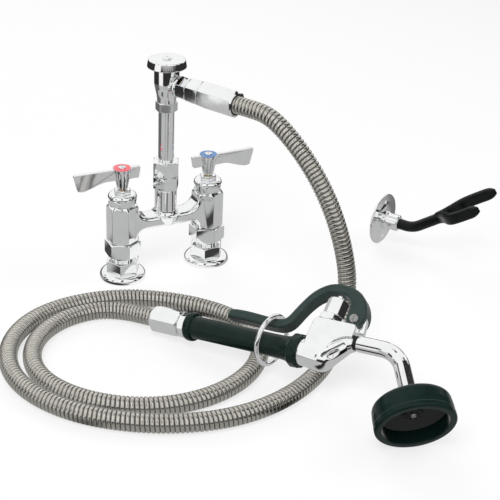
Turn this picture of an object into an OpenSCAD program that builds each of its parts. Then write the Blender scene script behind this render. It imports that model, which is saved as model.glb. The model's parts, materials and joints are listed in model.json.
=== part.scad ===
// Pre rinse faucet: a deck mounted bridge body with two wrist blade handles, a short riser with
// a vacuum breaker, a ribbed steel hose, a squeeze spray valve and its wall hook.
// Millimetres. The origin is midway between the two inlets on the deck. X runs from the hot
// inlet to the cold one, -Y points to the user and Z is up.

/* [Deck body] */
// Distance between the hot and the cold inlet
inlet_spacing = 101.6; // [90:0.1:110]
// Diameter of the flange of each foot
foot_flange_d = 51.2; // [48:0.1:56]
// Height of the domed flange
foot_flange_h = 8; // [6:0.5:10]
// Width across the flats of the foot's hexagon
foot_hex_af = 33; // [30:0.5:35]
// Height of the foot's hexagon
foot_hex_h = 13.5; // [10:0.5:16]
// Diameter of the neck above the hexagon
foot_neck_d = 24; // [22:0.5:25]
// Free height of the neck
foot_neck_h = 6; // [4:0.5:8]
// Bore of the foot for the supply thread
supply_bore_d = 19.2; // [18:0.1:20]
// Depth of the supply thread
supply_depth = 16; // [12:0.5:18]
// Width across the flats of the union nuts
union_af = 35; // [34:0.5:38]
// Height of the union nuts
union_h = 17; // [15:0.5:20]
// Width across the flats of the columns
column_af = 31; // [30:0.5:33]
// Height of the columns above the union nuts
column_h = 39.5; // [36:0.5:44]
// Height of the sloping crown on top of each column
crown_h = 4.5; // [3:0.5:6]
// Depth of the bridge from front to back
bridge_depth = 24; // [20:0.5:28]
// Height of the bridge at the middle
bridge_h = 14; // [12:0.5:18]
// Clear height of the arch under the bridge, above the union nuts
arch_h = 11.5; // [8:0.5:16]
// Diameter of the neck in the middle of the bridge
neck_d = 24; // [22:0.5:28]
// Height of the neck above the bridge
neck_h = 29; // [22:0.5:34]
// Bore of the waterways
water_d = 9; // [7:0.5:10]

/* [Cartridges and handles] */
// Diameter of the cartridge barrel
barrel_d = 22; // [20:0.5:24]
// Width across the flats of the bonnet
bonnet_af = 28.5; // [26:0.5:30]
// Height of the bonnet's hexagon
bonnet_h = 7; // [5:0.5:9]
// Diameter of the dome over the bonnet
dome_d = 31.5; // [29:0.5:33]
// Height of the dome
dome_h = 5.5; // [4:0.5:7]
// Width across the flats of the packing nut
packing_af = 17; // [16:0.5:20]
// Height of the packing nut
packing_h = 5; // [5:0.5:9]
// Diameter of the turning stem
stem_d = 8; // [7:0.5:9]
// Diameter of the handle hub at its lower end
hub_foot_d = 11.5; // [11:0.5:14]
// Diameter of the handle hub at its top
hub_top_d = 20.4; // [18:0.5:23]
// Height of the handle hub
hub_h = 23; // [18:0.5:26]
// Reach of the blade from the hub's axis
blade_reach = 55; // [45:1:70]
// Reach of the blade's tail on the other side
blade_tail = 20.5; // [15:0.5:26]
// Thickness of the blade
blade_thickness = 4; // [3:0.5:5]
// Height of the blade next to the hub
blade_root_h = 12.5; // [10:0.5:15]
// Height of the blade at its end
blade_end_h = 19.5; // [16:0.5:20]

/* [Riser and vacuum breaker] */
// Width across the flats of the riser adapter
adapter_af = 26; // [25:0.5:29]
// Height of the adapter's hexagon
adapter_h = 15.5; // [12:0.5:18]
// Width across the flats of the riser nut
riser_nut_af = 27; // [26:0.5:30]
// Height of the riser nut
riser_nut_h = 17.5; // [16:0.5:22]
// Outside diameter of the riser pipe
riser_d = 17.1; // [16:0.1:18]
// Free length of the riser pipe between its nut and the breaker
riser_free_h = 56.5; // [40:0.5:90]
// Diameter of the breaker body under its cap
breaker_d = 26.6; // [25:0.2:29]
// Height of the breaker body
breaker_h = 48.5; // [46:0.5:54]
// Height of the outlet's axis above the foot of the breaker
outlet_z = 30.5; // [28:0.5:33]
// Diameter of the breaker's cap at its rim
cap_d = 41.8; // [38:0.2:46]
// Height of the cap
cap_h = 8.6; // [7:0.1:11]

/* [Outlet and hose] */
// Width across the flats of the outlet nipple
nipple_af = 22; // [20:0.5:23]
// Width across the flats of the swivel nut
swivel_af = 24; // [22:0.5:26]
// Width across the flats of the upper hose coupling
coupling_af = 25.6; // [24:0.2:27]
// Outside diameter of the hose
hose_d = 18.5; // [17:0.1:18.6]
// Bore of the hose
hose_bore_d = 11; // [9:0.5:13]
// Number of ribs shown along the hose
hose_ribs = 180; // [120:1:200]
// Depth of the grooves between the ribs
rib_depth = 0.7; // [0.4:0.1:1.2]

/* [Spray valve] */
// Length of the lower hose coupling
lower_coupling_l = 36.5; // [30:0.5:42]
// Length of the chrome collar next to the grip
collar_l = 8.5; // [6:0.5:12]
// Diameter of the grip
grip_d = 23; // [21:0.5:24]
// Length of the grip with its flared guard
grip_l = 133; // [128:0.5:136]
// Diameter of the guard at the end of the grip
guard_d = 32.5; // [30:0.5:34]
// Outside diameter of the pipe inside the grip
handle_pipe_d = 16; // [14:0.5:17]
// Diameter of the valve body's barrel
body_barrel_d = 26; // [25:0.5:28]
// Width of the valve body's flat upper part
slab_w = 25.4; // [24:0.2:28]
// Length of the valve body from the end of the grip to the outlet
body_l = 49; // [47:0.5:53]
// Distance from the end of the grip to the valve's axis
valve_axis_s = 14.8; // [13.5:0.1:16]
// Height of the outlet's axis above the grip's axis
outlet_rise = 20.4; // [19:0.1:21]
// Width across the flats of the valve bonnet's base
valve_base_af = 24; // [22:0.5:25]
// Width across the flats of the valve bonnet's top
valve_top_af = 19; // [17:0.5:20]
// Diameter of the valve stem
valve_stem_d = 6; // [5:0.5:7]
// Width of the lever's tail
lever_w = 15; // [14:0.5:16]
// Width of the lever over the valve
lever_front_w = 18; // [16:0.5:20]
// Diameter of the lever's pivot screw
pivot_d = 5; // [4:0.5:6]
// Diameter of the hold ring's wire
ring_wire_d = 4.4; // [3.6:0.1:5]
// Inside diameter of the hold ring
ring_inner_d = 44.2; // [42:0.1:48]
// Outside diameter of the bent spray tube
tube_d = 15.6; // [14:0.2:17]
// Straight length from the outlet to the corner of the bend
tube_lead = 39; // [36:0.5:50]
// Bend of the spray tube away from the grip's axis, in degrees
tube_bend = 57; // [50:1:60]
// Radius of the tube's bend at its axis
tube_bend_r = 31; // [28:1:36]
// Diameter of the bumper
bumper_d = 74.6; // [70:0.2:78]
// Depth of the bumper
bumper_l = 25; // [20:0.5:30]
// Thickness of the bumper's wall
bumper_wall = 7; // [5:0.5:8]
// Depth of the hollow in front of the spray face
face_recess = 14; // [10:0.5:16]

/* [Wall hook] */
// Diameter of the wall plate
plate_d = 60; // [54:0.5:66]
// Thickness of the wall plate at its rim
plate_t = 2.5; // [2:0.5:4]
// Diameter of the hook's boss
hook_boss_d = 22; // [20:0.5:26]
// Length of the hook's boss
hook_boss_l = 17.5; // [16:0.5:28]
// Diameter of the coated rod
rod_d = 12.5; // [10:0.5:14]
// Half the distance between the two prongs
prong_half_gap = 22; // [18:0.5:28]
// Height of the flat prongs
prong_h = 13.5; // [9:0.5:16]
// Thickness of the flat prongs
prong_w = 8.5; // [6:0.5:10]
// Diameter of the plate's screw holes
plate_hole_d = 5.2; // [4:0.1:6]

/* [Hidden] */
// Smoothness of round parts
$fn = 96;
// A little more than nothing, so that cuts go through
over = 0.5;
// Radial play of a part that turns or slides in its guide
running_fit = 0.06;
// Play between a moving part and its neighbours
free_gap = 0.3;

// Heights of the deck body, from the deck up
foot_top = foot_flange_h + foot_hex_h;
union_base = foot_top + foot_neck_h;
union_top = union_base + union_h;
union_lip = 3;
tail_d = foot_neck_d + 4;
tail_h = 3;
washer_h = 2;
spigot_d = tail_d + 0.8;
spigot_base = union_base + union_lip + tail_h + washer_h;
column_top = union_top + column_h;
crown_top = column_top + crown_h;
arch_z = union_top + arch_h;
bridge_top = arch_z + bridge_h;
neck_top = bridge_top + neck_h;
bridge_water_z = arch_z + bridge_h / 2;
bridge_round = 5.5;
chamber_floor = bridge_water_z - water_d / 2 - 0.3;

// Heights of the cartridge and of the handle
disc_h = 2.5;
turning_disc_h = 3;
barrel_base = chamber_floor + disc_h;
bonnet_top = crown_top + bonnet_h;
dome_top = bonnet_top + dome_h;
packing_top = dome_top + packing_h;
hub_base = packing_top + 1;
hub_top = hub_base + hub_h;
gland_d = 12;
screw_d = 4;

// Heights of the riser and the breaker
adapter_top = neck_top + adapter_h;
adapter_thread_d = 20;
riser_thread_d = 22;
riser_thread_h = 8;
riser_flange_h = 3;
riser_nut_top = adapter_top + riser_nut_h;
riser_seat = adapter_top + riser_thread_h + washer_h;
breaker_base = riser_nut_top + riser_free_h;
socket_h = 8;
breaker_foot_af = riser_d + 3.6;
breaker_foot_d = 20.6;
breaker_top = breaker_base + breaker_h;
outlet_axis_z = breaker_base + outlet_z;
poppet_seat = outlet_axis_z - 7;
vent_h = 5;
vent_base = breaker_top - vent_h;
poppet_lift = 6;
cap_plate = 3;
cap_seat = breaker_top + cap_h - cap_plate;

// The hose runs from the upper coupling down to the deck's level, turns there nearly twice and
// ends in the spray valve's coupling: points on its axis, chosen by hand, for a smooth spline
hose_route = [
    [41, -84, 219], [49.2, -100.8, 219], [57.4, -117.6, 219], [66, -135.2, 209.5],
    [75, -154, 194], [84, -172.5, 174], [92, -189, 150], [98.5, -202, 123],
    [103, -211.5, 95], [105, -218, 67], [98, -225, 41], [82, -240, 20],
    [60, -260, 10.5], [33, -280, 9.4], [-8, -299, 9.4], [-58, -307, 9.4],
    [-110, -297, 9.4], [-161, -271, 9.4], [-203, -231, 9.4], [-226, -181, 9.4],
    [-226, -132, 9.4], [-204, -88, 9.4], [-166, -60, 9.4], [-120, -53, 9.4],
    [-75, -61, 9.4], [-34, -84, 9.4], [2, -120, 9.4], [22, -162, 9.4],
    [18, -207, 9.4], [-10, -243, 9.4], [-50, -264, 9.4], [-96, -269, 9.4],
    [-140, -256, 9.4], [-178, -227, 9.4], [-202, -187, 9.4], [-205, -144, 9.4],
    [-187, -106, 9.4], [-160, -85, 9.4], [-136, -77, 9.4], [-112, -76, 9.4],
    [-93, -83, 9.2], [-79.5, -95.55, 10.05], [-74.5, -104.2, 11.5], [-64.5, -121.5, 14.4]
];
hose_start = hose_route[0];
hose_end = hose_route[len(hose_route) - 1];
hose_heading = hose_end - hose_route[len(hose_route) - 2];
hose_samples = 1200;
hose_sides = 8;
bore_every = 4;

// The outlet points along the hose's first stretch; distances run from the riser's axis
outlet_turn = atan2(hose_start.y, hose_start.x);
boss_end = 19.5;
boss_d = 19;
nipple_end = boss_end + 13.5;
nipple_thread_d = 17;
swivel_end = nipple_end + 16.5;
coupling_tail = 4.5;
hose_reach = norm([hose_start.x, hose_start.y]);
bore_d = 10;

// Frame of the spray valve: X runs along the grip to the nozzle and Z points to the lever
valve_yaw = atan2(hose_heading.y, hose_heading.x);
valve_pitch = -asin(hose_heading.z / norm(hose_heading));
valve_roll = -54.2;
collar_s = lower_coupling_l;
grip_s = collar_s + collar_l;
guard_s = grip_s + grip_l;
guard_l = 24;
valve_s = guard_s + valve_axis_s;
gland_s = guard_s + body_l;
gland_l = 5.5;
slab_s = guard_s + 3.4;
slab_top = 33.6;
bonnet_seat = slab_top + 0.4;
valve_base_h = 7.5;
valve_top_h = 18;
valve_top = bonnet_seat + valve_base_h + valve_top_h;
valve_bore_d = 18.5;
valve_floor = -4;
seat_t = 12;
seat_h = 3;
skirt_bore_d = 12.6;
pivot = [gland_s - 6.8, 40.3];
lug_w = 5.6;
lug_r = 10.2;
spring_wire = 1.2;
spring_turns = 6;

// The lever's middle line from its tail to the pivot, with its height at each point, both
// measured in the valve's frame from the end of the grip
lever_line = [
    [-94, 21, 7], [-88, 21.6, 9.6], [-76, 21.9, 10.4], [-62, 21.6, 10], [-48, 20.9, 9.6],
    [-35, 20.8, 9.6], [-27, 22.5, 9.4], [-22.5, 29, 8.6], [-19.5, 38, 8], [-14.5, 49, 8],
    [-8, 60, 8.6], [2.8, 67.6, 9.4], [11.6, 69.3, 10.4], [22.6, 69.7, 9], [32.8, 65.4, 12.5],
    [38.3, 58.9, 15], [41, 51.9, 17.5], [42.1, 45.5, 19.2], [41.6, 39.6, 18.3], [41.3, 35.8, 14]
];
lever_steps = 44;
lever_round = 2.4;
// Where the lever starts and ends to grow wider, from the end of the grip
lever_widens = [-25, 5];
tube_sides = 32;

// The hold ring hangs on the lever's tail
ring_s = guard_s - 38.6;
ring_t = 5.6;
ring_side = 2;
ring_tilt = 6;

// Where the tube's straight and bent parts meet, and the direction that it sprays in
bend_s = gland_s + gland_l + tube_lead;
bend_cut = tube_bend_r * tan(tube_bend / 2);
bumper_lip_d = 5;
bumper_back_d = 62;
spray_z = cos(tube_bend) * sin(-valve_pitch) - sin(tube_bend) * cos(valve_roll) * cos(valve_pitch);
bend_z = hose_end.z + bend_s * sin(-valve_pitch) + outlet_rise * cos(valve_roll) * cos(valve_pitch);
lip_low = bumper_lip_d / 2 + (bumper_d - bumper_lip_d) / 2 * sqrt(1 - spray_z * spray_z);
spray_leg = (bend_z - lip_low - 0.03) / -spray_z + bumper_lip_d / 2;
bumper_back = spray_leg - bumper_l;
head_d = 24;
head_collar = 5;
face_t = 3;
face_d = bumper_d - 2 * bumper_wall;
face_s = bumper_l - face_recess - face_t;

// Frame of the wall hook: it stands on its rim and X points away from the wall plate
hook_at = [261.9, -39];
hook_turn = -60.7;
plate_dome = 3;
rod_rise = 35.6;
rod_bend_s = 41;
fork_s = 80;
fork_z = 28.6;
fork_turn = 8;
prong_line = [
    [fork_s - 9, 0, fork_z - 6.5], [fork_s - 2, 3, fork_z - 1.5], [fork_s + 5, 10, fork_z + 3.6],
    [fork_s + 11, 18, fork_z + 8], [fork_s + 19, prong_half_gap, fork_z + 13.5],
    [fork_s + 30, prong_half_gap, fork_z + 21.5], [fork_s + 40, prong_half_gap, fork_z + 28.8],
    [fork_s + 48, prong_half_gap, fork_z + 34.6]
];
prong_steps = 20;
prong_round = 3;
plate_holes = 2;
plate_pcd = 44;

chrome = [0.80, 0.81, 0.82];
green = [0.16, 0.26, 0.23];
brass = [0.78, 0.66, 0.38];
rubber = [0.10, 0.10, 0.11];
steel = [0.62, 0.61, 0.59];
hot_red = [0.85, 0.20, 0.25];
cold_blue = [0.18, 0.42, 0.70];
ceramic = [0.92, 0.92, 0.90];

// ---- shared helpers ----

// A hexagonal bar whose corners are cut by a cone at its foot, its top or both
module hex_bar(across, height, foot = 0, top = 0) {
    corner = across / sqrt(3);
    flat = across / 2;
    intersection() {
        cylinder(r = corner, h = height, $fn = 6);
        rotate_extrude() polygon([
            [0, 0], [foot > 0 ? flat - foot / 2 : corner, 0], [corner, foot],
            [corner, height - top], [top > 0 ? flat - top / 2 : corner, height], [0, height]
        ]);
    }
}

// A straight hole or passage from one height to another
module bore(diameter, from, to) {
    translate([0, 0, from]) cylinder(d = diameter, h = to - from);
}

module ring(outer, inner, height) {
    difference() {
        cylinder(d = outer, h = height);
        translate([0, 0, -over]) cylinder(d = inner, h = height + 2 * over);
    }
}

// Puts a part made along Z on the X axis
module along_x() { rotate([0, 90, 0]) children(); }

module at_inlet(side) { translate([side * inlet_spacing / 2, 0, 0]) children(); }

module on_outlet() {
    translate([0, 0, outlet_axis_z]) rotate([0, 0, outlet_turn]) along_x() children();
}

module on_valve() {
    translate(hose_end) rotate([valve_roll, valve_pitch, valve_yaw]) children();
}

// Frame on the tube's straight leg behind the bumper: Z runs along the spray's direction
module on_spray(distance) {
    on_valve() translate([bend_s, 0, outlet_rise]) rotate([0, 90 + tube_bend, 0])
        translate([0, 0, distance]) children();
}

module on_hook() {
    translate([hook_at.x, hook_at.y, plate_d / 2]) rotate([0, 0, hook_turn]) children();
}

// ---- curves and swept forms ----

// Points of a uniform cubic spline that starts and ends on its first and last control point
function spline_point(q, u) =
    let(i = min(floor(u), len(q) - 4), t = u - i)
    (pow(1 - t, 3) * q[i] + (3 * t * t * t - 6 * t * t + 4) * q[i + 1]
     + (-3 * t * t * t + 3 * t * t + 3 * t + 1) * q[i + 2] + t * t * t * q[i + 3]) / 6;
function spline(p, steps) =
    let(last = len(p) - 1, q = concat([2 * p[0] - p[1]], p, [2 * p[last] - p[last - 1]]))
    [for (k = [0:steps]) spline_point(q, k * last / steps)];

function unit(v) = v / norm(v);
function tangent(p, i) = unit(p[min(i + 1, len(p) - 1)] - p[max(i - 1, 0)]);

// Distance along a line of points
function travelled(p) = [for (i = 0, s = 0; i < len(p); i = i + 1,
                              s = s + (i < len(p) ? norm(p[i] - p[i - 1]) : 0)) s];

// Point and direction at a distance along a line of points
function along(table, s) = [lookup(s, table.x), lookup(s, table.y), lookup(s, table.z)];
function tables(p) = let(s = travelled(p))
    [for (axis = [0:2]) [for (i = [0:len(p) - 1]) [s[i], p[i][axis]]]];

// Sideways directions that turn with the line and don't twist round it
function side_vectors(p) = [for (i = 0, n = unit(cross(tangent(p, 0), [0.3, 0.2, 1])); i < len(p);
    i = i + 1,
    n = i < len(p) ? unit(n - (n * tangent(p, i)) * tangent(p, i)) : n) n];

// One ring of a swept tube
function ring_points(centre, t, n, radius, sides) =
    let(b = cross(t, n))
    [for (k = [0:sides - 1]) centre + radius * (cos(360 * k / sides) * n + sin(360 * k / sides) * b)];

// Triangles between successive rings, the first of them at index start
function skin(start, rings, sides, inward = false) = [
    for (i = [0:rings - 2]) for (k = [0:sides - 1])
        let(a = start + i * sides + k, b = start + i * sides + (k + 1) % sides)
        for (tri = [[a, b, b + sides], [a, b + sides, a + sides]])
            inward ? tri : [tri[2], tri[1], tri[0]]
];

// Middle line of a bar that runs straight, turns up or down round a radius and runs on
function bent_line(lead, radius, turn, tail, up) =
    let(arc = [for (a = [0:turn / 10:turn]) [lead + radius * sin(a), 0, up * radius * (1 - cos(a))]])
    concat([[0, 0, 0]], arc, [arc[len(arc) - 1] + tail * [cos(turn), 0, up * sin(turn)]]);

// A flat ring of triangles between an outer and an inner ring of points
function annulus(outer, inner, sides, back = false) = [
    for (k = [0:sides - 1])
        let(j = (k + 1) % sides)
        for (tri = [[outer + k, inner + k, inner + j], [outer + k, inner + j, outer + j]])
            back ? [tri[2], tri[1], tri[0]] : tri
];

// A fan of triangles that closes one ring
function fan(start, sides, back = false) = [
    for (k = [1:sides - 2]) back ? [start, start + k, start + k + 1] : [start, start + k + 1, start + k]
];

// A closed solid through a list of rings with the same number of points
module loft(rings) {
    sides = len(rings[0]);
    count = len(rings);
    polyhedron(
        points = [for (r = rings) for (p = r) p],
        faces = concat(skin(0, count, sides), fan(0, sides, back = true),
                       fan((count - 1) * sides, sides)),
        convexity = 6
    );
}

// A round bar swept along a line of points
module bar(line, diameter, sides) {
    sideways = side_vectors(line);
    loft([for (i = [0:len(line) - 1])
        ring_points(line[i], tangent(line, i), sideways[i], diameter / 2, sides)]);
}

// ---- deck body ----

module column_shape() {
    translate([0, 0, spigot_base]) cylinder(d = spigot_d, h = union_top - spigot_base + over);
    translate([0, 0, union_top]) rotate([0, 0, 30])
        hex_bar(column_af, column_h + crown_h, foot = 1, top = crown_h);
}

// The bridge's outline seen from the front, on the side of one inlet
module bridge_half(inset) {
    half = inlet_spacing / 2;
    arch_r = arch_h - 3;
    saddle_r = column_top - bridge_top;
    difference() {
        translate([0, union_top + 3]) square([half, column_top - union_top - 3]);
        translate([-over, union_top - over])
            square([half - column_af / 2 - arch_r + over, arch_h + over + inset]);
        translate([half - column_af / 2 - arch_r, arch_z - arch_r])
            circle(r = arch_r + inset, $fn = 40);
        translate([-over, bridge_top - inset])
            square([half - column_af / 2 - saddle_r + over, column_top]);
        translate([half - column_af / 2 - saddle_r, column_top]) circle(r = saddle_r + inset, $fn = 48);
    }
}

module bridge() {
    minkowski() {
        rotate([90, 0, 0]) linear_extrude(bridge_depth - 2 * bridge_round, center = true) {
            bridge_half(bridge_round);
            mirror([1, 0]) bridge_half(bridge_round);
        }
        sphere(r = bridge_round, $fn = 16);
    }
}

module faucet_body() {
    saddle_drop = 1;
    color(chrome) difference() {
        union() {
            for (side = [-1, 1]) at_inlet(side) column_shape();
            intersection() {
                bridge();
                translate([-inlet_spacing / 2, -bridge_depth, union_top])
                    cube([inlet_spacing, 2 * bridge_depth, column_h + crown_h - saddle_drop]);
            }
            rotate_extrude() polygon(concat(
                [[0, arch_z + 1], [neck_d / 2 - 1, arch_z + 1], [neck_d / 2, arch_z + 2]],
                [for (a = [0:15:90]) [neck_d / 2 + 5 * (1 - sin(a)), bridge_top - 1 + 6 * (1 - cos(a))]],
                [[neck_d / 2, neck_top - 2], [neck_d / 2 + 1, neck_top], [0, neck_top]]
            ));
        }
        for (side = [-1, 1]) at_inlet(side) {
            bore(bore_d + 4, spigot_base - over, chamber_floor - 3);
            bore(bore_d - 1, chamber_floor - 4, chamber_floor + over);
            bore(barrel_d + 2 * running_fit, chamber_floor, crown_top + over);
        }
        translate([-inlet_spacing / 2, 0, bridge_water_z]) along_x() cylinder(d = water_d, h = inlet_spacing);
        bore(bore_d + 2, bridge_water_z, neck_top - 8);
        bore(adapter_thread_d + 0.1, neck_top - 9, neck_top + over);
    }
}

module foot_flange() {
    rim = foot_flange_d / 2;
    crown = foot_hex_af / 2 + 2;
    rotate_extrude() polygon(concat(
        [[0, 0], [rim - 1, 0], [rim, 1], [rim, 2.4]],
        [for (a = [10:10:90]) [crown + (rim - crown) * cos(a), 2.4 + (foot_flange_h - 2.4) * sin(a)]],
        [[0, foot_flange_h]]
    ));
}

module foot() {
    color(chrome) difference() {
        union() {
            foot_flange();
            translate([0, 0, foot_flange_h - 1]) hex_bar(foot_hex_af, foot_hex_h + 1, top = 1.6);
            cylinder(d = foot_neck_d, h = union_base + union_lip);
            translate([0, 0, union_base + union_lip]) cylinder(d = tail_d, h = tail_h);
        }
        bore(supply_bore_d, -over, supply_depth);
        bore(bore_d + 4, supply_depth - over, spigot_base + over);
    }
}

module union_nut() {
    color(chrome) difference() {
        translate([0, 0, union_base]) rotate([0, 0, 30]) hex_bar(union_af, union_h, foot = 1.6, top = 1.2);
        bore(foot_neck_d + 0.3, union_base - over, union_base + union_lip + over);
        bore(spigot_d + 0.2, union_base + union_lip, union_top + over);
    }
}

module washer() {
    color(rubber) translate([0, 0, union_base + union_lip + tail_h]) ring(tail_d, bore_d + 4, washer_h);
}

module hot_foot() { at_inlet(-1) foot(); }
module cold_foot() { at_inlet(1) foot(); }
module hot_union_nut() { at_inlet(-1) union_nut(); }
module cold_union_nut() { at_inlet(1) union_nut(); }
module hot_washer() { at_inlet(-1) washer(); }
module cold_washer() { at_inlet(1) washer(); }

// ---- cartridges and handles ----

module seat_disc() {
    color(ceramic) difference() {
        translate([0, 0, chamber_floor]) cylinder(d = barrel_d, h = disc_h);
        for (turn = [0, 180]) rotate([0, 0, turn]) translate([3.2, 0, chamber_floor - over])
            cylinder(d = 4.4, h = disc_h + 2 * over);
    }
}

module bonnet() {
    rim = dome_d / 2;
    color(chrome) difference() {
        union() {
            translate([0, 0, barrel_base]) cylinder(d = barrel_d, h = crown_top - barrel_base);
            translate([0, 0, crown_top]) hex_bar(bonnet_af, bonnet_h, foot = 0.8, top = 1.6);
            rotate_extrude() polygon(concat(
                [[0, bonnet_top - 1], [rim - 2.2, bonnet_top - 1], [rim - 2.2, bonnet_top + 0.6]],
                [for (a = [0:10:80]) [rim - 3.6 * (1 - cos(a)), bonnet_top + 1.2 + (dome_h - 1.2) * sin(a)]],
                [[gland_d / 2 + 2, dome_top], [0, dome_top]]
            ));
            cylinder(d = gland_d, h = packing_top - 2);
        }
        bore(barrel_d - 7, barrel_base - over, column_top - 2);
        bore(stem_d + 2 * running_fit, column_top - 3, packing_top);
        translate([-barrel_d, -water_d / 2, barrel_base - over])
            cube([2 * barrel_d, water_d, bridge_water_z + water_d / 2 - barrel_base + over]);
        translate([0, 0, -over]) cylinder(d = barrel_d + 1, h = barrel_base + over);
    }
}

module packing_nut() {
    color(chrome) difference() {
        translate([0, 0, dome_top]) rotate([0, 0, 15]) hex_bar(packing_af, packing_h, top = 1.6);
        bore(gland_d, dome_top - over, packing_top - 2);
        bore(stem_d + 0.6, packing_top - 3, packing_top + over);
    }
}

// The stem carries the turning disc at its foot and the handle on its top
module stem() {
    disc_base = barrel_base + 0.1;
    disc_r = (barrel_d - 7) / 2 - 0.3;
    color(brass) difference() {
        union() {
            translate([0, 0, disc_base]) cylinder(r = disc_r, h = turning_disc_h);
            translate([0, 0, disc_base]) cylinder(d = stem_d, h = hub_top - 9 - disc_base);
        }
        translate([0, 0, disc_base - over]) rotate([0, 0, 90]) translate([3.2, 0, 0])
            cylinder(d = 4.4, h = turning_disc_h + over);
        bore(screw_d, hub_top - 18, hub_top);
    }
}

// Outline of the blade in its own plane: a level top edge and a lower edge that falls in an S
module blade_outline() {
    s_from = 17;
    s_to = blade_reach - 8;
    drop = blade_end_h - blade_root_h;
    offset(r = 1.5, $fn = 24) offset(delta = -1.5) polygon(concat(
        [[-blade_tail, 0], [-blade_tail + 2, -blade_root_h - 0.5], [s_from - 4, -blade_root_h]],
        [for (a = [0:15:180]) [s_from + (s_to - s_from) * a / 180, -blade_root_h - drop * (1 - cos(a)) / 2]],
        [[blade_reach - 4.5, -blade_end_h + 1], [blade_reach, 0]]
    ));
}

module handle(direction) {
    lean = atan((hub_top_d - hub_foot_d) / 2 / hub_h);
    color(chrome) difference() {
        union() {
            difference() {
                translate([0, 0, hub_base]) cylinder(d1 = hub_foot_d, d2 = hub_top_d, h = hub_h);
                for (k = [0:9]) rotate([0, 0, 36 * k + 18])
                    translate([hub_foot_d / 2 + 0.7, 0, hub_base]) rotate([0, lean, 0])
                        translate([0, 0, -2]) cylinder(d = 2.6, h = hub_h - 1, $fn = 24);
            }
            rotate([0, 0, direction]) translate([0, 0, hub_top - 0.4]) rotate([90, 0, 0])
                linear_extrude(blade_thickness, center = true) blade_outline();
        }
        translate([0, 0, hub_base - over]) cylinder(d = stem_d, h = hub_h - 9 + over);
        bore(screw_d + 0.4, hub_top - 10, hub_top + over);
        bore(hub_top_d - 1.6, hub_top - 1.2, hub_top + over);
    }
}

module index_ring(tint) {
    color(tint) translate([0, 0, hub_top - 1.2]) ring(hub_top_d - 1.8, screw_d + 0.4, 1.6);
}

module handle_screw() {
    head = hub_top + 0.4;
    color(chrome) difference() {
        union() {
            translate([0, 0, head - 17]) cylinder(d = screw_d, h = 17);
            rotate_extrude() polygon(concat([[0, head], [4.3, head]],
                [for (a = [0:15:75]) [4.3 * cos(a), head + 0.5 + 1.7 * sin(a)]], [[0, head + 2.2]]));
        }
        for (turn = [45, 135]) rotate([0, 0, turn])
            translate([-2.6, -0.5, head + 1]) cube([5.2, 1, 3]);
    }
}

module hot_seat_disc() { at_inlet(-1) seat_disc(); }
module cold_seat_disc() { at_inlet(1) seat_disc(); }
module hot_bonnet() { at_inlet(-1) bonnet(); }
module cold_bonnet() { at_inlet(1) bonnet(); }
module hot_packing_nut() { at_inlet(-1) packing_nut(); }
module cold_packing_nut() { at_inlet(1) packing_nut(); }
module hot_stem() { at_inlet(-1) stem(); }
module cold_stem() { at_inlet(1) stem(); }
module hot_handle() { at_inlet(-1) handle(180); }
module cold_handle() { at_inlet(1) handle(0); }
module hot_index() { at_inlet(-1) index_ring(hot_red); }
module cold_index() { at_inlet(1) index_ring(cold_blue); }
module hot_handle_screw() { at_inlet(-1) handle_screw(); }
module cold_handle_screw() { at_inlet(1) handle_screw(); }

// ---- riser ----

module riser_adapter() {
    color(chrome) difference() {
        union() {
            bore(adapter_thread_d, neck_top - 8, neck_top + over);
            translate([0, 0, neck_top]) hex_bar(adapter_af, adapter_h, foot = 1, top = 2);
            bore(riser_thread_d, adapter_top, adapter_top + riser_thread_h);
        }
        bore(bore_d + 2, neck_top - 9, adapter_top + riser_thread_h + over);
    }
}

module riser_washer() {
    color(rubber) translate([0, 0, adapter_top + riser_thread_h])
        ring(riser_thread_d - 0.4, bore_d + 2, washer_h);
}

module riser_nut() {
    color(chrome) difference() {
        translate([0, 0, adapter_top]) rotate([0, 0, 5])
            hex_bar(riser_nut_af, riser_nut_h, foot = 1.2, top = 2);
        bore(riser_thread_d, adapter_top - over, riser_seat + riser_flange_h);
        bore(riser_d + 0.2, riser_seat, riser_nut_top + over);
    }
}

module riser_pipe() {
    color(chrome) difference() {
        union() {
            bore(riser_thread_d - 0.4, riser_seat, riser_seat + riser_flange_h);
            bore(riser_d, riser_seat, breaker_base + socket_h);
        }
        bore(bore_d + 2, riser_seat - over, breaker_base + socket_h + over);
    }
}

// ---- vacuum breaker ----

module breaker_body() {
    wide = breaker_d / 2;
    slim = breaker_foot_d / 2;
    color(chrome) difference() {
        union() {
            translate([0, 0, breaker_base]) rotate([0, 0, 30])
                hex_bar(breaker_foot_af, socket_h + 2, foot = 0.8);
            rotate_extrude() polygon(concat(
                [[0, breaker_base + socket_h], [slim, breaker_base + socket_h]],
                [for (k = [0:8]) [slim + (wide - slim) * (1 - cos(180 * k / 8)) / 2,
                                  breaker_base + 12 + 20 * k / 8]],
                [[wide, breaker_top - 1], [wide - 1, breaker_top], [0, breaker_top]]
            ));
            on_outlet() cylinder(d = boss_d, h = boss_end);
            on_outlet() rotate_extrude() polygon(concat([[0, boss_end - 6]],
                [for (a = [-90:15:90]) [boss_d / 2 + 2 * cos(a), boss_end - 3 + 3 * sin(a)]],
                [[0, boss_end]]));
        }
        bore(riser_d, breaker_base - over, breaker_base + socket_h);
        bore(bore_d + 2, breaker_base + socket_h - over, poppet_seat + over);
        bore(bore_d + 7, poppet_seat, vent_base + over);
        bore(bore_d + 12, vent_base, breaker_top + over);
        on_outlet() cylinder(d = bore_d, h = boss_end + over);
        on_outlet() translate([0, 0, boss_end - 6]) cylinder(d = nipple_thread_d - 3, h = 6 + over);
    }
}

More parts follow.
